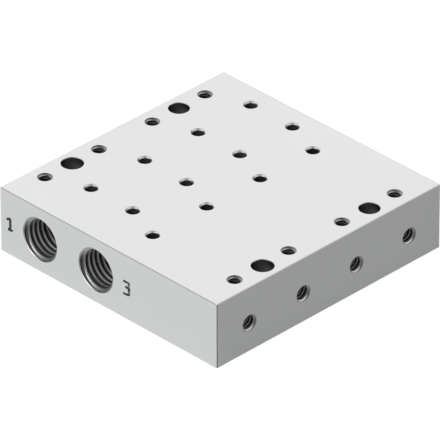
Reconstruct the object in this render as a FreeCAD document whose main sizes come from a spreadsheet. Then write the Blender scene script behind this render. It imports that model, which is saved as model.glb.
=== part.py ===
import FreeCAD, Part

import os

import Sketcher

# Valve manifold strip: one machined aluminium block that carries a row of valves.
# Frame: Z up, origin at the middle of the underside, X across the block from the
# left face to the outlet face, Y along the row of stations, ports in the -Y end.
# Every place below is measured from the left face, the front end and the underside.

NODE = "manifold_block"

# Driving dimensions in millimetres, angles in degrees: name, value, meaning
DIMENSIONS = [
    ("station_count", 4, "valve stations in the row"),
    ("station_pitch", 21.0, "from one station line to the next"),
    ("front_margin", 12.5, "front end to the first station line"),
    ("rear_margin", 12.5, "last station line to the rear end"),
    ("block_width", 85.7, "left face to outlet face"),
    ("block_height", 20.8, "underside to valve seats"),
    ("edge_break", 0.2, "chamfer on the block's outer edges"),
    ("drill_angle", 118.0, "point angle of every drill"),
    ("sink_angle", 90.0, "countersink angle of every tapped mouth and duct"),
    ("supply_place", 15.95, "left face to the axis of supply gallery 1"),
    ("exhaust_place", 38.25, "left face to the axis of exhaust gallery 3"),
    ("gallery_height", 10.5, "underside to the gallery axes"),
    ("gallery_bore", 10.0, "bore of both galleries"),
    ("gallery_overrun", 2.0, "full gallery bore past the last supply and exhaust ducts"),
    ("port_tap_drill", 11.8, "core bore of the G1/4 port thread"),
    ("port_rim", 13.7, "countersunk rim of a port"),
    ("port_depth", 13.0, "depth of the port's core bore"),
    ("duct_bore", 3.5, "bore of the ducts under the valves"),
    ("duct_rim", 4.45, "countersunk rim of a duct"),
    ("supply_duct_place", 18.3, "left face to the supply ducts"),
    ("exhaust_duct_place", 34.95, "left face to the exhaust ducts"),
    ("feed_stagger", 5.2, "supply and exhaust ducts behind their station line"),
    ("outlet_duct_place", 47.95, "left face to the outlet ducts"),
    ("outlet_stagger", 0.2, "outlets and their ducts behind their station line"),
    ("outlet_height", 9.1, "underside to the outlet axes"),
    ("outlet_tap_drill", 4.2, "core bore of the M5 outlet thread"),
    ("outlet_rim", 5.35, "countersunk rim of an outlet"),
    ("outlet_depth", 8.5, "depth of the outlet's core bore"),
    ("screw_place", 5.1, "left face to the first column of valve screws"),
    ("screw_spacing", 75.0, "between the two screws of a valve"),
    ("screw_tap_drill", 3.3, "core bore of the M4 valve screw thread"),
    ("screw_rim", 4.5, "countersunk rim of a valve screw hole"),
    ("screw_depth", 7.0, "depth of the valve screw's core bore"),
    ("mounting_place", 5.2, "left face to the first column of mounting holes"),
    ("mounting_margin", 5.2, "second column of mounting holes to the outlet face"),
    ("front_mounting_bore", 6.4, "bore of the front pair of mounting holes"),
    ("rear_mounting_bore", 6.0, "bore of the rear pair of mounting holes"),
]

# Places that follow from the driving dimensions
ROW_LENGTH = "(Sizes.station_count - 1) * Sizes.station_pitch"
BLOCK_LENGTH = f"(Sizes.front_margin + {ROW_LENGTH} + Sizes.rear_margin)"
LAST_STATION = f"(Sizes.front_margin + {ROW_LENGTH})"
GALLERY_DEPTH = f"{LAST_STATION} + Sizes.feed_stagger + Sizes.gallery_overrun"
HALF_WIDTH = "Sizes.block_width / 2"
HALF_LENGTH = f"{BLOCK_LENGTH} / 2"
FEED_LINE = "Sizes.front_margin + Sizes.feed_stagger"
OUTLET_LINE = "Sizes.front_margin + Sizes.outlet_stagger"


def driving_sheet(doc):
    """The spreadsheet of driving dimensions, one alias to a row."""
    sheet = doc.addObject("Spreadsheet::Sheet", "Sizes")
    for row, (alias, value, meaning) in enumerate(DIMENSIONS, start=1):
        sheet.set(f"A{row}", alias)
        sheet.set(f"B{row}", str(value))
        sheet.set(f"C{row}", meaning)
        sheet.setAlias(f"B{row}", alias)
    doc.recompute()
    return sheet


def origin_feature(body, role):
    """One of the body's own origin planes or axes."""
    return next(f for f in body.Origin.OriginFeatures if f.Role == role)


def sketch_on(body, name, plane, corner):
    """A sketch on an origin plane, carried to the corner that its sizes start from."""
    sketch = body.newObject("Sketcher::SketchObject", name)
    sketch.AttachmentSupport = (origin_feature(body, plane), [""])
    sketch.MapMode = "FlatFace"
    for direction, expression in zip("xyz", corner):
        sketch.setExpression(f"AttachmentOffset.Base.{direction}", expression)
    return sketch


# The three drilled faces: origin plane, and the offset of the face's own corner
TOP_FACE = ("XY_Plane", (f"-{HALF_WIDTH}", f"-{HALF_LENGTH}", "Sizes.block_height"))
FRONT_END = ("XZ_Plane", (f"-{HALF_WIDTH}", "0", HALF_LENGTH))
OUTLET_FACE = ("YZ_Plane", (f"-{HALF_LENGTH}", "0", HALF_WIDTH))


def hole_centres(body, name, face, bore, places):
    """A sketch with one circle for each hole, placed from the face's corner."""
    sketch = sketch_on(body, name, *face)
    for across, up in places:
        circle = sketch.addGeometry(Part.Circle())
        constraints = (
            ("Diameter", Sketcher.Constraint("Diameter", circle, 1.0), bore),
            ("across", Sketcher.Constraint("DistanceX", -1, 1, circle, 3, 1.0), across),
            ("up", Sketcher.Constraint("DistanceY", -1, 1, circle, 3, 1.0), up),
        )
        for label, constraint, expression in constraints:
            index = sketch.addConstraint(constraint)
            sketch.renameConstraint(index, f"{label}_{circle}")
            sketch.setExpression(f"Constraints[{index}]", expression)
    return sketch


def drill(body, name, sketch, bore, depth=None, rim=None):
    """A drilled hole at each circle of a sketch: through, or blind to a depth."""
    body.Document.recompute()
    hole = body.newObject("PartDesign::Hole", name)
    hole.Profile = sketch
    hole.Threaded = False
    hole.setExpression("Diameter", bore)
    if depth is None:
        hole.DepthType = "ThroughAll"
    else:
        hole.DepthType = "Dimension"
        hole.setExpression("Depth", depth)
    hole.DrillPoint = "Angled"
    hole.setExpression("DrillPointAngle", "Sizes.drill_angle")
    if rim:
        hole.HoleCutType = "Countersink"
        hole.setExpression("HoleCutDiameter", rim)
        hole.setExpression("HoleCutCountersinkAngle", "Sizes.sink_angle")
    return hole


def block_pad(body):
    """The sawn block, centred on the origin and standing on its underside."""
    corner = (f"-{HALF_WIDTH}", f"-{HALF_LENGTH}", "0")
    sketch = sketch_on(body, "block_outline", "XY_Plane", corner)
    corners = [
        FreeCAD.Vector(0, 0),
        FreeCAD.Vector(1, 0),
        FreeCAD.Vector(1, 1),
        FreeCAD.Vector(0, 1),
    ]
    sides = [
        sketch.addGeometry(Part.LineSegment(start, end))
        for start, end in zip(corners, corners[1:] + corners[:1])
    ]
    for side, following in zip(sides, sides[1:] + sides[:1]):
        sketch.addConstraint(Sketcher.Constraint("Coincident", side, 2, following, 1))
    for side, direction in zip(sides, ("Horizontal", "Vertical") * 2):
        sketch.addConstraint(Sketcher.Constraint(direction, side))
    sketch.addConstraint(Sketcher.Constraint("Coincident", sides[0], 1, -1, 1))
    width = sketch.addConstraint(Sketcher.Constraint("DistanceX", sides[0], 1, sides[0], 2, 1.0))
    length = sketch.addConstraint(Sketcher.Constraint("DistanceY", sides[1], 1, sides[1], 2, 1.0))
    sketch.setExpression(f"Constraints[{width}]", "Sizes.block_width")
    sketch.setExpression(f"Constraints[{length}]", BLOCK_LENGTH)
    pad = body.newObject("PartDesign::Pad", "sawn_block")
    pad.Profile = sketch
    pad.setExpression("Length", "Sizes.block_height")
    body.Document.recompute()
    return pad


def broken_edges(body, pad):
    """The chamfer that breaks all twelve outer edges."""
    chamfer = body.newObject("PartDesign::Chamfer", "edge_breaks")
    chamfer.Base = (pad, [f"Edge{i + 1}" for i in range(len(pad.Shape.Edges))])
    chamfer.setExpression("Size", "Sizes.edge_break")
    body.Document.recompute()
    return chamfer


def galleries(body):
    """Supply and exhaust galleries: blind bores from the front end, each with a tapped port."""
    places = [
        ("Sizes.supply_place", "Sizes.gallery_height"),
        ("Sizes.exhaust_place", "Sizes.gallery_height"),
    ]
    axes = hole_centres(body, "gallery_axes", FRONT_END, "Sizes.gallery_bore", places)
    bores = drill(body, "galleries", axes, "Sizes.gallery_bore", GALLERY_DEPTH)
    ports = drill(
        body, "tapped_ports", axes, "Sizes.port_tap_drill", "Sizes.port_depth", "Sizes.port_rim"
    )
    return [bores, ports]


def first_station(body):
    """All holes of the first station: three ducts, the tapped outlet and two valve screws."""
    feeds = hole_centres(
        body,
        "feed_duct_axes",
        TOP_FACE,
        "Sizes.duct_bore",
        [("Sizes.supply_duct_place", FEED_LINE), ("Sizes.exhaust_duct_place", FEED_LINE)],
    )
    feed_depth = "Sizes.block_height - Sizes.gallery_height"
    feed = drill(body, "feed_ducts", feeds, "Sizes.duct_bore", feed_depth, "Sizes.duct_rim")
    risers = hole_centres(
        body,
        "riser_axes",
        TOP_FACE,
        "Sizes.duct_bore",
        [("Sizes.outlet_duct_place", OUTLET_LINE)],
    )
    riser_depth = "Sizes.block_height - Sizes.outlet_height"
    riser = drill(
        body, "outlet_riser", risers, "Sizes.duct_bore", riser_depth, "Sizes.duct_rim"
    )
    outlet_place = [(OUTLET_LINE, "Sizes.outlet_height")]
    outlets = hole_centres(body, "outlet_axes", OUTLET_FACE, "Sizes.duct_bore", outlet_place)
    run_depth = "Sizes.block_width - Sizes.outlet_duct_place"
    run = drill(body, "outlet_run", outlets, "Sizes.duct_bore", run_depth)
    mouth = drill(
        body,
        "tapped_outlet",
        outlets,
        "Sizes.outlet_tap_drill",
        "Sizes.outlet_depth",
        "Sizes.outlet_rim",
    )
    screws = hole_centres(
        body,
        "valve_screw_axes",
        TOP_FACE,
        "Sizes.screw_tap_drill",
        [
            ("Sizes.screw_place", "Sizes.front_margin"),
            ("Sizes.screw_place + Sizes.screw_spacing", "Sizes.front_margin"),
        ],
    )
    screw = drill(
        body,
        "valve_screw_holes",
        screws,
        "Sizes.screw_tap_drill",
        "Sizes.screw_depth",
        "Sizes.screw_rim",
    )
    return [feed, riser, run, mouth, screw]


def row_of_stations(body, station):
    """The first station repeated down the row at the station pitch."""
    body.Document.recompute()
    row = body.newObject("PartDesign::LinearPattern", "stations")
    row.Originals = station
    row.Direction = (origin_feature(body, "Y_Axis"), [""])
    row.Mode = "Spacing"
    row.setExpression("Offset", "Sizes.station_pitch")
    row.setExpression("Occurrences", "Sizes.station_count")
    body.Tip = row
    return row


def mounting_holes(body):
    """Through holes midway between the first two and between the last two stations."""
    columns = ("Sizes.mounting_place", "Sizes.block_width - Sizes.mounting_margin")
    pairs = (
        ("front", "Sizes.front_mounting_bore", "Sizes.front_margin + Sizes.station_pitch / 2"),
        ("rear", "Sizes.rear_mounting_bore", f"{LAST_STATION} - Sizes.station_pitch / 2"),
    )
    holes = []
    for end, bore, line in pairs:
        places = [(column, line) for column in columns]
        axes = hole_centres(body, f"{end}_mounting_axes", TOP_FACE, bore, places)
        holes.append(drill(body, f"{end}_mounting_holes", axes, bore))
    return holes


def check(doc, body, cuts):
    """Stops on any failed object, an invalid solid, or a cut that removes nothing."""
    for item in doc.Objects:
        failed = {"Invalid", "Error"} & set(item.State)
        if failed:
            raise RuntimeError(f"{item.Label} is {item.State}")
    for before, after in zip(cuts, cuts[1:]):
        if after.Shape.Volume > before.Shape.Volume - 0.1:
            raise RuntimeError(f"{after.Label} removes nothing")
    if body.Shape.isNull() or not body.Shape.isValid():
        raise RuntimeError(f"{body.Label} is not a valid solid")
    if len(body.Shape.Solids) != 1:
        raise RuntimeError(f"{body.Label} is {len(body.Shape.Solids)} solids")


def main():
    doc = FreeCAD.newDocument("valve_manifold_strip")
    driving_sheet(doc)
    body = doc.addObject("PartDesign::Body", "Block")
    body.Label = NODE
    body.Placement = FreeCAD.Placement()
    pad = block_pad(body)
    edges = broken_edges(body, pad)
    bores = galleries(body)
    station = first_station(body)
    row = row_of_stations(body, station)
    mountings = mounting_holes(body)
    doc.recompute()
    check(doc, body, [pad, edges, *bores, *station, row, *mountings])
    os.makedirs("parts", exist_ok=True)
    body.Shape.exportStep(os.path.join("parts", f"{NODE}.step"))
    box = body.Shape.BoundBox
    print(f"{NODE}: {box.XLength:.2f} x {box.YLength:.2f} x {box.ZLength:.2f} mm")
    print(f"volume {body.Shape.Volume / 1000:.2f} cm3, {len(body.Shape.Faces)} faces")


main()
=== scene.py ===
import math

import bmesh
import bpy
from mathutils import Matrix, Vector


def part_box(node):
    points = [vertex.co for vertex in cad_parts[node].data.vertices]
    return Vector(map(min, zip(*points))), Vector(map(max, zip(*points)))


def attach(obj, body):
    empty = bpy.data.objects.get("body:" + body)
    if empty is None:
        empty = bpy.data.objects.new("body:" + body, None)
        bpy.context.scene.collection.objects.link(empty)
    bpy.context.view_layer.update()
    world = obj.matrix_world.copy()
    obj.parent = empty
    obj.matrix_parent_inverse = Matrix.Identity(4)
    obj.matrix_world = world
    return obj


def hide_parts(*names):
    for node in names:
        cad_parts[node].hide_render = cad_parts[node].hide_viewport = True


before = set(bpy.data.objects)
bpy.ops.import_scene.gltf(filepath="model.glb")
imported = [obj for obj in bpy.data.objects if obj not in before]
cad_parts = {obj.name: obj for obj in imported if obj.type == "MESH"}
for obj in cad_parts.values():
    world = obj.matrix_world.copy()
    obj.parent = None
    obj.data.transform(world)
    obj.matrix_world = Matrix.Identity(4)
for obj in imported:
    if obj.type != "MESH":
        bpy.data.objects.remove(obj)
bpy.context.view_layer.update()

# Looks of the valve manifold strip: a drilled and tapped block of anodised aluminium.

MM = 0.001
block_low, block_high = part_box("manifold_block")
BLOCK_TOP = block_high.z
FRONT_END = block_low.y
LEFT_FACE = block_low.x
OUTLET_FACE = block_high.x

# Sizes of the drilled block, the same as the designer's driving dimensions
STATIONS = 4
STATION_PITCH = 21.0 * MM
FIRST_STATION = FRONT_END + 12.5 * MM
GALLERY_END = FRONT_END + 82.7 * MM
GALLERY_HEIGHT = 10.5 * MM
GALLERY_BORE = 10.0 * MM
SUPPLY_LINE = LEFT_FACE + 15.95 * MM
EXHAUST_LINE = LEFT_FACE + 38.25 * MM
PORT_CORE = 11.8 * MM
PORT_RIM = 13.7 * MM
PORT_DEPTH = 13.0 * MM
DUCT_BORE = 3.5 * MM
DUCT_RIM = 4.45 * MM
SUPPLY_DUCTS = LEFT_FACE + 18.3 * MM
EXHAUST_DUCTS = LEFT_FACE + 34.95 * MM
OUTLET_DUCTS = LEFT_FACE + 47.95 * MM
FEED_STAGGER = 5.2 * MM
OUTLET_STAGGER = 0.2 * MM
OUTLET_HEIGHT = 9.1 * MM
OUTLET_CORE = 4.2 * MM
OUTLET_RIM = 5.35 * MM
OUTLET_DEPTH = 8.5 * MM
SCREW_LINE = LEFT_FACE + 5.1 * MM
SCREW_SPACING = 75.0 * MM
SCREW_CORE = 3.3 * MM
SCREW_RIM = 4.5 * MM
SCREW_DEPTH = 7.0 * MM
MOUNTING_LINE = LEFT_FACE + 5.2 * MM
MOUNTING_SPACING = 75.3 * MM
FRONT_MOUNTING_BORE = 6.4 * MM
REAR_MOUNTING_BORE = 6.0 * MM
EDGE_BREAK = 0.2 * MM
WORN_EDGE = 0.32 * MM
DRILL_ANGLE = math.radians(118)
SHARP_ANGLE = math.radians(32)

# Threads as they read in the photograph, coarser than the standard pitch. A groove runs from its
# start below the face to the tapped depth, and the ports' starts above the face.
PORT_THREAD = 13.3 * MM
PORT_PITCH = 1.72 * MM
PORT_START = -1.72 * MM
PORT_TAPPED = 11.7 * MM
OUTLET_THREAD = 5.1 * MM
OUTLET_PITCH = 1.0 * MM
OUTLET_START = 1.05 * MM
OUTLET_TAPPED = 7.55 * MM
SCREW_THREAD = 4.1 * MM
SCREW_PITCH = 0.9 * MM
SCREW_START = 0.5 * MM
SCREW_TAPPED = 6.67 * MM

# A groove's width at the bore and at its root, as shares of the pitch
GROOVE_MOUTH = 0.66
GROOVE_ROOT = 0.32
PORT_GROOVE_ROOT = 0.24

# How far the cutters go past what they cut, how close their corners are to be one, and how much
# wider the mouths of plain holes are than their bores
TAP_INSET = 0.08 * MM
TOUCHING = 0.001 * MM
OVERSHOOT = 0.2 * MM
PUNCH_OVERSHOOT = 0.1 * MM
THROUGH = 1.0 * MM
PLAIN_MOUTH = 0.1 * MM
MOUNTING_MOUTH = 0.32 * MM

# The photograph's camera, and the studio
CAMERA_AZIMUTH = math.radians(45.166)
CAMERA_ELEVATION = math.radians(32.208)
CAMERA_ROLL = math.radians(0.043)
CAMERA_DISTANCE = 2.1999
CAMERA_TARGET = Vector((0.187, -0.277, 9.655)) * MM
CAMERA_LENS = 643.61
SENSOR_WIDTH = 36.0
SUN_ELEVATION = math.radians(55.5)
SUN_STRENGTH = 2.52
SUN_SOFTNESS = math.radians(45)
SUN_TURN = math.radians(-0.3)
ROOM_LIGHT = 0.297
FLOOR_TONE = 0.2
FLOOR_GLOW = 0.86
FLOOR_REACH = 6.0
FLOOR_GAP = 0.02 * MM


class Wire:
    """An output of a node. Arithmetic on it adds Math nodes to its tree."""

    def __init__(self, graph, socket):
        self.graph = graph
        self.socket = socket

    def math(self, operation, *values):
        return self.graph.add("ShaderNodeMath", {"operation": operation}, dict(enumerate(values)))

    def __add__(self, other):
        return self.math("ADD", self, other)

    def __radd__(self, other):
        return self.math("ADD", other, self)

    def __sub__(self, other):
        return self.math("SUBTRACT", self, other)

    def __rsub__(self, other):
        return self.math("SUBTRACT", other, self)

    def __mul__(self, other):
        return self.math("MULTIPLY", self, other)

    def __rmul__(self, other):
        return self.math("MULTIPLY", other, self)

    def __truediv__(self, other):
        return self.math("DIVIDE", self, other)

    def __rtruediv__(self, other):
        return self.math("DIVIDE", other, self)


class Graph:
    """A node tree that is filled one node at a time."""

    def __init__(self, tree):
        self.tree = tree

    def add(self, kind, settings=None, inputs=None, output=0):
        """Adds a node, sets its settings and then its sockets, and gives one of its outputs."""
        node = self.tree.nodes.new(kind)
        for name, value in (settings or {}).items():
            if name == "stops":
                self.set_stops(node.color_ramp, value)
            else:
                setattr(node, name, value)
        for name, value in (inputs or {}).items():
            for one in value if isinstance(value, list) else [value]:
                if isinstance(one, Wire):
                    self.tree.links.new(one.socket, node.inputs[name])
                else:
                    node.inputs[name].default_value = one
        return Wire(self, node.outputs[output]) if len(node.outputs) else node

    def set_stops(self, ramp, stops):
        """Puts the stops of a colour ramp, each a place and a grey."""
        while len(ramp.elements) < len(stops):
            ramp.elements.new(1.0)
        for element, (place, tone) in zip(ramp.elements, stops):
            element.position = place
            element.color = (tone, tone, tone, 1.0)


def grey(tone):
    return (tone, tone, tone, 1.0)


def emptied(owner):
    """The node tree of a material or a world, cleared and ready to fill."""
    owner.use_nodes = True
    owner.node_tree.nodes.clear()
    return Graph(owner.node_tree)


def in_scene(name, data):
    """A new object with this data, in the scene."""
    thing = bpy.data.objects.new(name, data)
    bpy.context.scene.collection.objects.link(thing)
    return thing


def settled(thing):
    """The plain mesh that an object's modifiers give."""
    graph = bpy.context.evaluated_depsgraph_get()
    return bpy.data.meshes.new_from_object(thing.evaluated_get(graph), depsgraph=graph)


def face_outwards(mesh):
    """Turns the faces of a closed mesh outwards."""
    work = bmesh.new()
    work.from_mesh(mesh)
    bmesh.ops.recalc_face_normals(work, faces=work.faces)
    work.to_mesh(mesh)
    work.free()


# Finishes, with their painted highlights and painted shade

FACE_TONE = 0.8
# A painted tint of the light on the upright faces
PAINTED_SIDE_LIGHT_TINT = (0.986, 1.012, 1.0, 1.0)
# Painted shade: the broken top edges are darker than the faces, most at the two ends, and the
# upright edges of the outlets' face nearly black
END_EDGE_PAINTED_SHADE = FACE_TONE * 0.42
SIDE_EDGE_PAINTED_SHADE = FACE_TONE * 0.85
CORNER_EDGE_PAINTED_SHADE = FACE_TONE * 0.06
GRAIN_RELIEF = 0.012 * MM

# How fine the noise of each finish is, in features per metre
CLOUDS = 38.0
BLASTED_GRAIN = 5200.0
BLASTED_PITS = 1300.0
DRILL_MARKS = 2600.0
TOOL_MARKS = 3500.0
FILL_SPECKLE = 3000.0

# A Mix node's sockets for colours, by number because it uses their names more than once
FIRST_COLOUR = 6
SECOND_COLOUR = 7
MIXED_COLOUR = 2


def start_material(name):
    material = bpy.data.materials.new(name)
    graph = emptied(material)
    place = graph.add("ShaderNodeTexCoord", output="Object")
    return material, graph, place


def part(graph, vector, axis):
    """One of the three parts of a vector."""
    return graph.add("ShaderNodeSeparateXYZ", None, {0: vector}, output="XYZ".index(axis))


def noise(graph, place, scale, detail=2.0, roughness=0.5):
    """Blender's noise, about a half on average, with its scale in features per metre."""
    sockets = {"Vector": place, "Scale": scale, "Detail": detail, "Roughness": roughness}
    return graph.add("ShaderNodeTexNoise", None, sockets)


def finish_material(graph, sockets):
    shader = graph.add("ShaderNodeBsdfPrincipled", None, sockets)
    graph.add("ShaderNodeOutputMaterial", None, {"Surface": shader})


def mixed(graph, factor, first, second):
    """A colour between two others, either of which may be a wire."""
    sockets = {"Factor": factor, FIRST_COLOUR: first, SECOND_COLOUR: second}
    return graph.add("ShaderNodeMix", {"data_type": "RGBA"}, sockets, output=MIXED_COLOUR)


def filtered(graph, colour, tint):
    """A colour multiplied by another."""
    settings = {"data_type": "RGBA", "blend_type": "MULTIPLY"}
    sockets = {"Factor": 1.0, FIRST_COLOUR: colour, SECOND_COLOUR: tint}
    return graph.add("ShaderNodeMix", settings, sockets, output=MIXED_COLOUR)


def shaded(graph, colour, share):
    """A colour multiplied by a number."""
    shade = graph.add("ShaderNodeCombineColor", None, {"Red": share, "Green": share, "Blue": share})
    return filtered(graph, colour, shade)


def anodised(name, tone, roughness=0.5):
    """Satin anodised aluminium: faint clouds over the fine grain of the blasted skin, and a slight
    green tint painted on the upright faces, a painted tint of the light that falls on them."""
    material, graph, place = start_material(name)
    cloud = noise(graph, place, CLOUDS, 3.0)
    grain = noise(graph, place, BLASTED_GRAIN, 2.0, 0.6)
    pits = noise(graph, place, BLASTED_PITS, 2.0, 0.5)
    factor = cloud * 0.5 + grain * 0.3 + pits * 0.2
    colour = mixed(graph, factor, grey(tone * 0.965), grey(tone * 1.035))
    facing = graph.add("ShaderNodeTexCoord", output="Normal")
    upward = part(graph, facing, "Z")
    # Painted light: the upright faces are tinted green by the way they face
    colour = filtered(graph, colour, mixed(graph, upward, PAINTED_SIDE_LIGHT_TINT, grey(1.0)))
    relief = {"Strength": 0.25, "Distance": GRAIN_RELIEF, "Height": grain + pits}
    finish_material(
        graph,
        {
            "Base Color": colour,
            "Roughness": roughness - 0.04 + cloud * 0.08,
            "Metallic": 0.05,
            "Normal": graph.add("ShaderNodeBump", None, relief),
        },
    )
    return material


def into_bore(graph, place, axis, face):
    """Depth below the face that a hole starts from."""
    along = part(graph, place, axis)
    return face - along if face > 0 else along - face


def painted_shade_bore_wall(name, axis, face, tones, reach):
    """The wall of a drilled hole, painted dark with a painted shade that changes evenly with depth
    below its face. The reach is the depth in millimetres where the tones end."""
    material, graph, place = start_material(name)
    depth = into_bore(graph, place, axis, face)
    stops = [(where / reach, tone) for where, tone in tones]
    # Painted shade down the hole
    tone = graph.add("ShaderNodeValToRGB", {"stops": stops}, {"Fac": depth / (reach * MM)})
    marks = noise(graph, place, DRILL_MARKS) * 0.3 + 0.85
    colour = shaded(graph, tone, marks)
    finish_material(graph, {"Base Color": colour, "Roughness": 0.55, "Metallic": 0.0})
    return material


# Half the width in millimetres of the change from a lip to what is below it
LIP_BLEND = 0.08


def painted_sheen_ring(graph, turn, tones):
    """A painted highlight and shade that change round a hole, from a few places in degrees."""
    stops = [((angle + 180) / 360, level) for angle, level in tones]
    return graph.add("ShaderNodeValToRGB", {"stops": stops}, {"Fac": turn})


def deeper(graph, depth, start, end):
    """Nought above one depth in millimetres, one below another, and a smooth change between."""
    edge = {"Value": depth, "From Min": start * MM, "From Max": end * MM}
    return graph.add("ShaderNodeMapRange", {"interpolation_type": "SMOOTHSTEP"}, edge)


def painted_sheen_wall(name, axis, face, tones, lip=None, deep=None, metallic=0.0):
    """A wall or countersink with painted highlights and painted shade by the way that it faces
    round the hole. A lip has its own painted tones down to a depth, and a deep one takes over
    between two depths."""
    material, graph, place = start_material(name)
    facing = graph.add("ShaderNodeTexCoord", output="Normal")
    first, second = (part(graph, facing, side) for side in "XYZ" if side != axis)
    turn = second.math("ARCTAN2", second, first) / math.tau + 0.5
    depth = into_bore(graph, place, axis, face)
    # Painted highlights and shade, by the way the wall faces round the hole
    tone = painted_sheen_ring(graph, turn, tones)
    if lip:
        end, lip_tones = lip
        share = deeper(graph, depth, end - LIP_BLEND, end + LIP_BLEND)
        tone = mixed(graph, share, painted_sheen_ring(graph, turn, lip_tones), tone)
    if deep:
        start, end, level = deep
        tone = mixed(graph, deeper(graph, depth, start, end), tone, grey(level))
    marks = noise(graph, place, TOOL_MARKS) * 0.2 + 0.9
    finish_material(
        graph,
        {
            "Base Color": shaded(graph, tone, marks),
            "Roughness": 0.45,
            "Metallic": metallic,
            "Specular IOR Level": 0.25,
        },
    )
    return material


# Painted highlight on the 3: from this far right of the left face, in bands of height over the
# underside
HIGHLIGHT_FROM = 50.9 * MM
HIGHLIGHT_FADE = 0.3 * MM
HIGHLIGHT_REACH = 12.0 * MM
HIGHLIGHT_BANDS = (
    (0.0, 0.0),
    (0.7, 0.0),
    (0.725, 1.0),
    (0.765, 1.0),
    (0.785, 0.0),
    (0.865, 0.0),
    (0.885, 1.0),
    (0.94, 1.0),
    (0.96, 0.0),
    (1.0, 0.0),
)


def paint_fill(name, tone, highlight_tone):
    """Dark grey filling of the engraved numerals, with a painted highlight where the 3 curves round
    on its right.
    """
    material, graph, place = start_material(name)
    speckle = noise(graph, place, FILL_SPECKLE, 3.0)
    across = part(graph, place, "X")
    up = part(graph, place, "Z")
    edge = LEFT_FACE + HIGHLIGHT_FROM
    share = {"Value": across, "From Min": edge, "From Max": edge + HIGHLIGHT_FADE}
    right = graph.add("ShaderNodeMapRange", None, share)
    picked_out = graph.add("ShaderNodeValToRGB", {"stops": HIGHLIGHT_BANDS}, {"Fac": up / HIGHLIGHT_REACH})
    # Painted highlight of the lit walls on the 3's right
    colour = mixed(graph, right * picked_out, grey(tone), grey(highlight_tone))
    colour = shaded(graph, colour, speckle * 0.4 + 0.8)
    finish_material(graph, {"Base Color": colour, "Roughness": 0.7, "Metallic": 0.0})
    return material


skin = anodised("anodised_skin", FACE_TONE)
# Painted shade on the broken edges, darker than the skin
end_edge = anodised("end_edge_painted_shade", END_EDGE_PAINTED_SHADE)
side_edge = anodised("side_edge_painted_shade", SIDE_EDGE_PAINTED_SHADE)
corner_edge = anodised("corner_edge_painted_shade", CORNER_EDGE_PAINTED_SHADE)

# Painted highlights and shade: two lighter arcs with a darker one between, by the way a wall faces.
# Each list holds places in degrees round the hole's axis, and the painted tone there.
duct_rim = painted_sheen_wall(
    "duct_countersink",
    "Z",
    BLOCK_TOP,
    ((-180, 0.1), (-110, 0.1), (-70, 0.7), (-45, 0.2), (-10, 0.8), (40, 0.1), (180, 0.1)),
    lip=(0.24, ((-180, 0.1), (-125, 0.9), (-45, 0.3), (0, 0.8), (75, 0.1), (180, 0.1))),
)
screw_rim = painted_sheen_wall(
    "screw_countersink",
    "Z",
    BLOCK_TOP,
    ((-180, 0.0), (-110, 0.3), (-60, 0.0), (-5, 0.5), (60, 0.5), (180, 0.0)),
    lip=(0.34, ((-180, 0.0), (-135, 0.3), (-45, 0.0), (50, 0.3), (180, 0.0))),
)
outlet_rim = painted_sheen_wall(
    "outlet_countersink",
    "X",
    OUTLET_FACE,
    ((-180, 0.2), (-130, 0.4), (-50, 0.0), (60, 0.8), (110, 0.7), (150, 0.15), (180, 0.2)),
    lip=(0.26, ((-180, 0.15), (-130, 0.4), (-50, 0.0), (75, 0.4), (140, 0.05), (180, 0.15))),
    metallic=0.5,
)
# Painted highlights and shade round the ports' walls
PORT_PAINTED_SHEEN = ((-180, 0.4), (-60, 1.0), (20, 1.0), (65, 0.25), (120, 0.1), (180, 0.4))
port_rim = painted_sheen_wall(
    "port_countersink",
    "Y",
    FRONT_END,
    PORT_PAINTED_SHEEN,
    lip=(0.35, ((-180, 0.4), (-40, 0.4), (0, 0.2), (40, 0.6), (100, 0.05), (180, 0.4))),
    metallic=0.8,
)
mounting_rim = painted_sheen_wall(
    "mounting_edge",
    "Z",
    BLOCK_TOP,
    ((-180, 0.05), (-75, 0.4), (-35, 0.1), (-5, 0.5), (30, 0.0), (180, 0.05)),
)
mounting_wall = painted_sheen_wall(
    "mounting_wall",
    "Z",
    BLOCK_TOP,
    ((-180, 0.0), (-105, 0.0), (-15, 0.06), (30, 0.0), (180, 0.0)),
    deep=(0.5, 4.0, 0.1),
)

# Painted shade by depth in millimetres, dark down the holes; the outlets' crests lighten again
duct_wall = painted_shade_bore_wall(
    "duct_wall", "Z", BLOCK_TOP, ((0.0, 0.05), (1.0, 0.03), (9.0, 0.03)), reach=10.0
)
riser_wall = painted_shade_bore_wall("riser_wall", "Z", BLOCK_TOP, ((0.0, 0.01), (9.0, 0.02)), reach=12.0)
screw_crest = painted_shade_bore_wall(
    "screw_crest", "Z", BLOCK_TOP, ((0.0, 0.3), (0.6, 0.1), (1.5, 0.1), (2.0, 0.02)), reach=8.0
)
screw_groove = painted_shade_bore_wall(
    "screw_groove", "Z", BLOCK_TOP, ((0.0, 0.012), (1.0, 0.01)), reach=8.0
)
outlet_crest = painted_shade_bore_wall(
    "outlet_crest", "X", OUTLET_FACE, ((0.0, 0.5), (1.0, 0.05), (1.5, 1.0)), reach=8.0
)
outlet_groove = painted_shade_bore_wall(
    "outlet_groove", "X", OUTLET_FACE, ((0.0, 0.02), (4.0, 0.02)), reach=8.0
)
port_crest = painted_sheen_wall(
    "port_crest", "Y", FRONT_END, PORT_PAINTED_SHEEN, deep=(1.0, 8.0, 0.9), metallic=0.6
)
port_groove = painted_sheen_wall(
    "port_groove",
    "Y",
    FRONT_END,
    ((-180, 0.04), (-75, 0.04), (-40, 0.5), (0, 0.06), (180, 0.04)),
    metallic=0.6,
)
gallery_wall = painted_shade_bore_wall(
    "gallery_wall", "Y", FRONT_END, ((0.0, 0.1), (20.0, 0.03)), reach=30.0
)
numeral_fill = paint_fill("numeral_fill", tone=0.03, highlight_tone=0.3)


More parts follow.
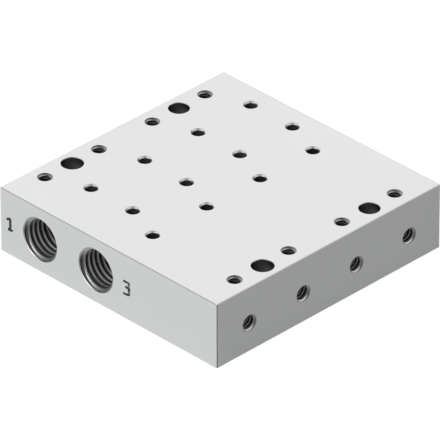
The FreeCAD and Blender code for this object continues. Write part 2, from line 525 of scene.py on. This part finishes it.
# Cutters, as geometry trees

FLOAT = "NodeSocketFloat"
INTEGER = "NodeSocketInt"
VECTOR = "NodeSocketVector"
MATERIAL = "NodeSocketMaterial"


def start_tree(name, inputs):
    """A geometry tree with named inputs; gives the graph and a wire for each input."""
    tree = bpy.data.node_groups.new(name, "GeometryNodeTree")
    for label, kind in inputs.items():
        tree.interface.new_socket(label, in_out="INPUT", socket_type=kind)
    tree.interface.new_socket("Geometry", in_out="OUTPUT", socket_type="NodeSocketGeometry")
    graph = Graph(tree)
    source = tree.nodes.new("NodeGroupInput")
    wires = {label: Wire(graph, source.outputs[label]) for label in inputs}
    return graph, wires


def combine(graph, x=0.0, y=0.0, z=0.0):
    return graph.add("ShaderNodeCombineXYZ", None, {0: x, 1: y, 2: z})


def place_row(graph, cutter, wires, finishes):
    """Repeats a cutter along its row, turns it to its face and gives it its finishes."""
    row = graph.add(
        "GeometryNodeMeshLine",
        None,
        {"Count": wires["Count"], "Start Location": wires["First"], "Offset": wires["Step"]},
    )
    turned = graph.add("FunctionNodeEulerToRotation", None, {0: wires["Turn"]})
    copies = graph.add(
        "GeometryNodeInstanceOnPoints",
        None,
        {"Points": row, "Instance": cutter, "Rotation": turned},
    )
    result = graph.add("GeometryNodeRealizeInstances", None, {"Geometry": copies})
    for finish, selection in finishes:
        sockets = {"Geometry": result, "Material": finish}
        if selection:
            sockets["Selection"] = selection
        result = graph.add("GeometryNodeSetMaterial", None, sockets)
    graph.add("NodeGroupOutput", None, {"Geometry": result})


ROW_INPUTS = {"First": VECTOR, "Step": VECTOR, "Count": INTEGER, "Turn": VECTOR}


def drilled_row_tree():
    """A row of drills, along -Z before the turn: countersunk mouth, straight bore, pointed end."""
    graph, wires = start_tree(
        "drilled_row",
        {
            "Bore": FLOAT,
            "Rim": FLOAT,
            "Depth": FLOAT,
            "Point": FLOAT,
            "Overshoot": FLOAT,
            "Sides": INTEGER,
            "Wall": MATERIAL,
            "Countersink": MATERIAL,
            **ROW_INPUTS,
        },
    )
    bore = wires["Bore"] * 0.5
    rim = wires["Rim"] * 0.5
    above = wires["Overshoot"]
    sink = rim - bore

    def ring(top, bottom, height, floor):
        cone = graph.add(
            "GeometryNodeMeshCone",
            {"fill_type": "NONE"},
            {
                "Vertices": wires["Sides"],
                "Side Segments": 1,
                "Radius Top": top,
                "Radius Bottom": bottom,
                "Depth": height,
            },
        )
        where = combine(graph, z=floor)
        return graph.add("GeometryNodeTransform", None, {"Geometry": cone, "Translation": where})

    mouth = ring(rim + above, bore, sink + above, -1.0 * sink)
    marked = graph.add(
        "GeometryNodeStoreNamedAttribute",
        {"data_type": "BOOLEAN", "domain": "FACE"},
        {"Geometry": mouth, "Name": "countersunk", "Value": True},
    )
    barrel = ring(bore, bore, wires["Depth"] - sink, -1.0 * wires["Depth"])
    tip = ring(bore, 0.0, wires["Point"], -1.0 * wires["Depth"] - wires["Point"])
    lid = graph.add(
        "GeometryNodeMeshCircle",
        {"fill_type": "NGON"},
        {"Vertices": wires["Sides"], "Radius": rim + above},
    )
    lid = graph.add(
        "GeometryNodeTransform", None, {"Geometry": lid, "Translation": combine(graph, z=above)}
    )
    joined = graph.add("GeometryNodeJoinGeometry", None, {"Geometry": [marked, barrel, tip, lid]})
    cutter = graph.add(
        "GeometryNodeMergeByDistance", None, {"Geometry": joined, "Distance": TOUCHING}
    )
    countersunk = graph.add(
        "GeometryNodeInputNamedAttribute", {"data_type": "BOOLEAN"}, {"Name": "countersunk"}
    )
    place_row(graph, cutter, wires, [(wires["Wall"], None), (wires["Countersink"], countersunk)])
    return graph.tree


def thread_row_tree():
    """A row of taps, along -Z before the turn: a right-handed groove down each core bore, wider at
    the bore than at its root."""
    graph, wires = start_tree(
        "thread_row",
        {
            "Core": FLOAT,
            "Thread": FLOAT,
            "Pitch": FLOAT,
            "Mouth Width": FLOAT,
            "Root Width": FLOAT,
            "Length": FLOAT,
            "Start": FLOAT,
            "Inset": FLOAT,
            "Steps": INTEGER,
            "Wall": MATERIAL,
            **ROW_INPUTS,
        },
    )
    inner = wires["Core"] * 0.5 - wires["Inset"]
    outer = wires["Thread"] * 0.5
    middle = (inner + outer) * 0.5
    travel = wires["Length"] - wires["Start"]
    spiral = graph.add(
        "GeometryNodeCurveSpiral",
        None,
        {
            "Resolution": wires["Steps"],
            "Rotations": travel / wires["Pitch"],
            "Start Radius": middle,
            "End Radius": middle,
            "Height": travel,
            "Reverse": True,
        },
    )
    low = combine(graph, z=-1.0 * wires["Length"])
    spiral = graph.add("GeometryNodeTransform", None, {"Geometry": spiral, "Translation": low})
    spiral = graph.add("GeometryNodeSetCurveNormal", {"mode": "Z_UP"}, {"Curve": spiral})
    tooth = graph.add(
        "GeometryNodeCurvePrimitiveQuadrilateral",
        {"mode": "TRAPEZOID"},
        {
            "Bottom Width": wires["Mouth Width"],
            "Top Width": wires["Root Width"],
            "Offset": 0.0,
            "Height": outer - inner,
        },
    )
    tooth = graph.add(
        "GeometryNodeTransform",
        None,
        {"Geometry": tooth, "Rotation": (0.0, 0.0, math.radians(-90))},
    )
    groove = graph.add(
        "GeometryNodeCurveToMesh",
        None,
        {"Curve": spiral, "Profile Curve": tooth, "Fill Caps": True},
    )
    place_row(graph, groove, wires, [(wires["Wall"], None)])
    return graph.tree


def grown(tree, values):
    """The plain mesh that a geometry tree gives with these values, faces outwards."""
    seed = in_scene(tree.name, bpy.data.meshes.new(tree.name))
    modifier = seed.modifiers.new(tree.name, "NODES")
    modifier.node_group = tree
    for item in tree.interface.items_tree:
        if item.in_out == "INPUT" and item.name in values:
            modifier[item.identifier] = values[item.name]
    seed.update_tag()
    mesh = settled(seed)
    bpy.data.objects.remove(seed)
    face_outwards(mesh)
    return mesh


# The block

BLOCK_FINISHES_AND_SHADES = (skin, end_edge, side_edge, corner_edge)

# Shares of a normal: below the first it doesn't lean that way, and past the second it mostly does
LEAN = 0.02
MOSTLY = 0.6


def finish_or_painted_shade(normal):
    """The finish of a face of the plain block, from the way that it faces; broken edges get a
    painted shade.
    """
    sideways, endways, upwards = (abs(share) > LEAN for share in normal)
    if sideways + endways + upwards == 1:
        return skin
    if sideways and endways:
        return corner_edge if normal.x > MOSTLY else skin
    if normal.z <= 0:
        return skin
    return end_edge if endways else side_edge


def sawn_block():
    """The plain block with its edges broken, its top edges and the outlets' upright edges each with
    their own darker painted shade. The outlets' face has wider broken edges at its top and at its
    front."""
    mesh = bpy.data.meshes.new("manifold_body")
    work = bmesh.new()
    bmesh.ops.create_cube(work, size=1.0)
    size = block_high - block_low
    middle = (block_high + block_low) / 2
    spread = Matrix.Translation(middle) @ Matrix.Diagonal((*size, 1.0))
    bmesh.ops.transform(work, matrix=spread, verts=work.verts)
    widths = work.edges.layers.float.new("bevel_weight_edge")
    far_out = size * 0.4
    for edge in work.edges:
        at = sum((corner.co for corner in edge.verts), Vector()) / 2 - middle
        picked_out = at.x > far_out.x and (at.z > far_out.z or at.y < -far_out.y)
        edge[widths] = 1.0 if picked_out else EDGE_BREAK / WORN_EDGE
    work.to_mesh(mesh)
    work.free()
    block = in_scene("manifold_body", mesh)
    rounding = block.modifiers.new("broken_edges", "BEVEL")
    rounding.width = WORN_EDGE
    rounding.segments = 4
    rounding.limit_method = "WEIGHT"
    mesh = settled(block)
    block.modifiers.clear()
    block.data = mesh
    work = bmesh.new()
    work.from_mesh(mesh)
    for face in work.faces:
        # Each broken edge gets its painted shade by the way it faces
        face.material_index = BLOCK_FINISHES_AND_SHADES.index(finish_or_painted_shade(face.normal))
    work.to_mesh(mesh)
    work.free()
    for material in BLOCK_FINISHES_AND_SHADES:
        mesh.materials.append(material)
    return block


def cut(block, cutter_mesh):
    """Takes a cutter out of the block. The walls that it leaves keep the cutter's finish."""
    cutter = in_scene("cutter", cutter_mesh)
    modifier = block.modifiers.new("cut", "BOOLEAN")
    modifier.operation = "DIFFERENCE"
    modifier.solver = "MANIFOLD"
    modifier.material_mode = "TRANSFER"
    modifier.object = cutter
    result = settled(block)
    block.modifiers.remove(modifier)
    spent = block.data
    block.data = result
    bpy.data.meshes.remove(spent)
    bpy.data.objects.remove(cutter)


UP = (0.0, 0.0, 0.0)
TO_FRONT = (math.radians(90), 0.0, 0.0)
TO_OUTLETS = (0.0, math.radians(90), 0.0)
ALONG_ROW = (0.0, STATION_PITCH, 0.0)


drilled_row = drilled_row_tree()
thread_row = thread_row_tree()
block = sawn_block()


def row_of(count, first, step, turn):
    """Where a row of holes lies and which way it faces, as inputs of the two trees."""
    return {"Count": count, "First": first, "Step": step, "Turn": turn}


def top_row(line, station):
    """A row of one hole for each station in the top face."""
    return row_of(STATIONS, (line, station, BLOCK_TOP), ALONG_ROW, UP)


def drill(row, bore, rim, depth, wall, countersink, sides):
    """Drills a row of holes, and countersinks them from the bore out to the rim."""
    values = {
        "Bore": bore,
        "Rim": rim,
        "Depth": depth,
        "Point": bore / 2 / math.tan(DRILL_ANGLE / 2),
        "Overshoot": OVERSHOOT,
        "Sides": sides,
        "Wall": wall,
        "Countersink": countersink,
    }
    cut(block, grown(drilled_row, {**values, **row}))


def tap(row, core, thread, pitch, start, length, wall, steps, root=GROOVE_ROOT):
    """Cuts a thread's groove down a row of drilled holes, in so many steps to the turn."""
    values = {
        "Core": core,
        "Thread": thread,
        "Pitch": pitch,
        "Mouth Width": pitch * GROOVE_MOUTH,
        "Root Width": pitch * root,
        "Length": length,
        "Start": start,
        "Inset": TAP_INSET,
        "Steps": steps,
        "Wall": wall,
    }
    cut(block, grown(thread_row, {**values, **row}))


outlet_line = FIRST_STATION + OUTLET_STAGGER
feed_line = FIRST_STATION + FEED_STAGGER
mounting_line = FIRST_STATION + STATION_PITCH / 2
supply_port = (SUPPLY_LINE, FRONT_END, GALLERY_HEIGHT)
between_ports = (EXHAUST_LINE - SUPPLY_LINE, 0.0, 0.0)
port_row = row_of(2, supply_port, between_ports, TO_FRONT)
first_outlet = (OUTLET_FACE, outlet_line, OUTLET_HEIGHT)
outlet_row = row_of(STATIONS, first_outlet, ALONG_ROW, TO_OUTLETS)
screw_rows = [top_row(line, FIRST_STATION) for line in (SCREW_LINE, SCREW_LINE + SCREW_SPACING)]

# Galleries, with the ports in their front ends
drill(
    port_row,
    bore=GALLERY_BORE,
    rim=GALLERY_BORE + PLAIN_MOUTH,
    depth=GALLERY_END - FRONT_END,
    wall=gallery_wall,
    countersink=gallery_wall,
    sides=64,
)
drill(
    port_row,
    bore=PORT_CORE,
    rim=PORT_RIM,
    depth=PORT_DEPTH,
    wall=port_crest,
    countersink=port_rim,
    sides=96,
)

# Runs from the outlets' face to the risers, with the outlets in their ends
drill(
    outlet_row,
    bore=DUCT_BORE,
    rim=DUCT_BORE + PLAIN_MOUTH,
    depth=OUTLET_FACE - OUTLET_DUCTS,
    wall=outlet_groove,
    countersink=outlet_groove,
    sides=40,
)
drill(
    outlet_row,
    bore=OUTLET_CORE,
    rim=OUTLET_RIM,
    depth=OUTLET_DEPTH,
    wall=outlet_crest,
    countersink=outlet_rim,
    sides=56,
)

# Ducts down to the two galleries, and risers down to the outlets' runs
for line, station, height, wall in (
    (SUPPLY_DUCTS, feed_line, GALLERY_HEIGHT, duct_wall),
    (EXHAUST_DUCTS, feed_line, GALLERY_HEIGHT, duct_wall),
    (OUTLET_DUCTS, outlet_line, OUTLET_HEIGHT, riser_wall),
):
    drill(
        top_row(line, station),
        bore=DUCT_BORE,
        rim=DUCT_RIM,
        depth=BLOCK_TOP - height,
        wall=wall,
        countersink=duct_rim,
        sides=56,
    )

# Valve screw holes
for row in screw_rows:
    drill(
        row,
        bore=SCREW_CORE,
        rim=SCREW_RIM,
        depth=SCREW_DEPTH,
        wall=screw_crest,
        countersink=screw_rim,
        sides=48,
    )

# Mounting holes, right through
for station, bore in (
    (mounting_line, FRONT_MOUNTING_BORE),
    (mounting_line + 2 * STATION_PITCH, REAR_MOUNTING_BORE),
):
    drill(
        row_of(2, (MOUNTING_LINE, station, BLOCK_TOP), (MOUNTING_SPACING, 0.0, 0.0), UP),
        bore=bore,
        rim=bore + MOUNTING_MOUTH,
        depth=BLOCK_TOP + THROUGH,
        wall=mounting_wall,
        countersink=mounting_rim,
        sides=72,
    )

# Threads
tap(
    port_row,
    core=PORT_CORE,
    thread=PORT_THREAD,
    pitch=PORT_PITCH,
    start=PORT_START,
    length=PORT_TAPPED,
    wall=port_groove,
    steps=72,
    root=PORT_GROOVE_ROOT,
)
tap(
    outlet_row,
    core=OUTLET_CORE,
    thread=OUTLET_THREAD,
    pitch=OUTLET_PITCH,
    start=OUTLET_START,
    length=OUTLET_TAPPED,
    wall=outlet_groove,
    steps=40,
)
for row in screw_rows:
    tap(
        row,
        core=SCREW_CORE,
        thread=SCREW_THREAD,
        pitch=SCREW_PITCH,
        start=SCREW_START,
        length=SCREW_TAPPED,
        wall=screw_groove,
        steps=32,
    )


# Numerals

NUMERAL_DEPTH = 0.15 * MM

# Outlines, as places in millimetres from the left face and from the underside
numeral_one = (
    (2.36, 11.2), (2.45, 11.65), (2.95, 12.06), (3.5, 12.27), (4.05, 12.28), (4.46, 11.92),
    (4.46, 9.3), (4.3, 8.85), (5.0, 8.75), (5.05, 8.4), (4.5, 7.9), (2.95, 7.85), (2.88, 8.5),
    (3.08, 8.8), (3.48, 8.95), (3.46, 11.15), (3.3, 11.28), (3.0, 11.1), (2.7, 10.93),
)
numeral_three = (
    (48.98, 12.0), (49.3, 12.48), (51.3, 12.5), (51.75, 12.2), (51.8, 11.2), (51.9, 10.7),
    (51.9, 8.9), (52.05, 8.6), (51.3, 7.9), (50.9, 7.74), (49.05, 7.7), (48.95, 8.05),
    (49.15, 8.42), (50.6, 8.45), (50.95, 8.8), (50.95, 9.6), (50.85, 10.0), (49.95, 10.02),
    (49.88, 10.5), (50.05, 10.83), (50.95, 10.85), (50.98, 11.6), (50.85, 11.75), (49.3, 11.72),
)


def engraver(outline):
    """A flat punch with a numeral's outline, which goes a little way into the front face."""
    corners = [
        (LEFT_FACE + across * MM, FRONT_END + depth, up * MM)
        for depth in (-PUNCH_OVERSHOOT, NUMERAL_DEPTH)
        for across, up in outline
    ]
    count = len(outline)
    following = [(k + 1) % count for k in range(count)]
    sides = [(k, after, count + after, count + k) for k, after in enumerate(following)]
    mesh = bpy.data.meshes.new("numeral_punch")
    mesh.from_pydata(corners, [], [range(count), range(count, 2 * count), *sides])
    mesh.materials.append(numeral_fill)
    face_outwards(mesh)
    return mesh


for outline in (numeral_one, numeral_three):
    cut(block, engraver(outline))

# The walls of the holes are smooth, and their mouths stay sharp
for face in block.data.polygons:
    face.use_smooth = True
block.data.set_sharp_from_angle(angle=SHARP_ANGLE)
shading = block.modifiers.new("even_shading", "WEIGHTED_NORMAL")
shading.keep_sharp = True
shading.weight = 100
finished = settled(block)
block.modifiers.clear()
block.data = finished
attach(block, "root")
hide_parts("manifold_block")


# Floor, light and camera


def seen_rays(graph):
    """One for the rays of the camera, of reflections and of clear things, nought for others."""
    camera_ray = graph.add("ShaderNodeLightPath", output="Is Camera Ray")
    glossy_ray = graph.add("ShaderNodeLightPath", output="Is Glossy Ray")
    clear_ray = graph.add("ShaderNodeLightPath", output="Is Transmission Ray")
    reflected_ray = glossy_ray.math("MAXIMUM", glossy_ray, clear_ray)
    return camera_ray.math("MAXIMUM", camera_ray, reflected_ray)


def studio_floor():
    """A large pale floor that the camera sees as white, but for the object's shadow."""
    mesh = bpy.data.meshes.new("studio_floor")
    ends = (-FLOOR_REACH, FLOOR_REACH)
    corners = [(x, y, -FLOOR_GAP) for x in ends for y in ends]
    mesh.from_pydata(corners, [], [(0, 2, 3, 1)])
    material = bpy.data.materials.new("pale_floor")
    graph = emptied(material)
    strength = seen_rays(graph) * FLOOR_GLOW
    glow = graph.add("ShaderNodeEmission", None, {"Color": grey(1.0), "Strength": strength})
    matt = graph.add("ShaderNodeBsdfDiffuse", None, {"Color": grey(FLOOR_TONE)})
    both = graph.add("ShaderNodeAddShader", None, {0: glow, 1: matt})
    graph.add("ShaderNodeOutputMaterial", None, {"Surface": both})
    mesh.materials.append(material)
    floor = in_scene("studio_floor", mesh)


def room_light():
    """Even light from all round, and a white room for what the camera and reflections see."""
    world = bpy.data.worlds.new("studio")
    bpy.context.scene.world = world
    graph = emptied(world)
    strength = ROOM_LIGHT + seen_rays(graph) * (1.0 - ROOM_LIGHT)
    light = graph.add("ShaderNodeBackground", None, {"Color": grey(1.0), "Strength": strength})
    graph.add("ShaderNodeOutputWorld", None, {"Surface": light})


def key_light():
    """One soft lamp high in front of the ports."""
    lamp = bpy.data.lights.new("key", "SUN")
    lamp.energy = SUN_STRENGTH
    lamp.angle = SUN_SOFTNESS
    holder = in_scene("key", lamp)
    holder.rotation_euler = (math.radians(90) - SUN_ELEVATION, 0.0, SUN_TURN)


def photograph_camera():
    """The camera that took the photograph, a long way off with a long lens."""
    data = bpy.data.cameras.new("camera")
    data.sensor_width = SENSOR_WIDTH
    data.lens = CAMERA_LENS
    data.clip_start = 0.1
    data.clip_end = 20.0
    camera = in_scene("camera", data)
    level = math.cos(CAMERA_ELEVATION)
    sideways = math.sin(CAMERA_AZIMUTH) * level
    forwards = -math.cos(CAMERA_AZIMUTH) * level
    back = Vector((sideways, forwards, math.sin(CAMERA_ELEVATION)))
    turn = (-back).to_track_quat("-Z", "Y").to_matrix().to_4x4()
    place = Matrix.Translation(CAMERA_TARGET + back * CAMERA_DISTANCE)
    camera.matrix_world = place @ turn @ Matrix.Rotation(-CAMERA_ROLL, 4, "Z")
    bpy.context.scene.camera = camera


studio_floor()
room_light()
key_light()
photograph_camera()
bpy.context.scene.view_settings.view_transform = "Standard"
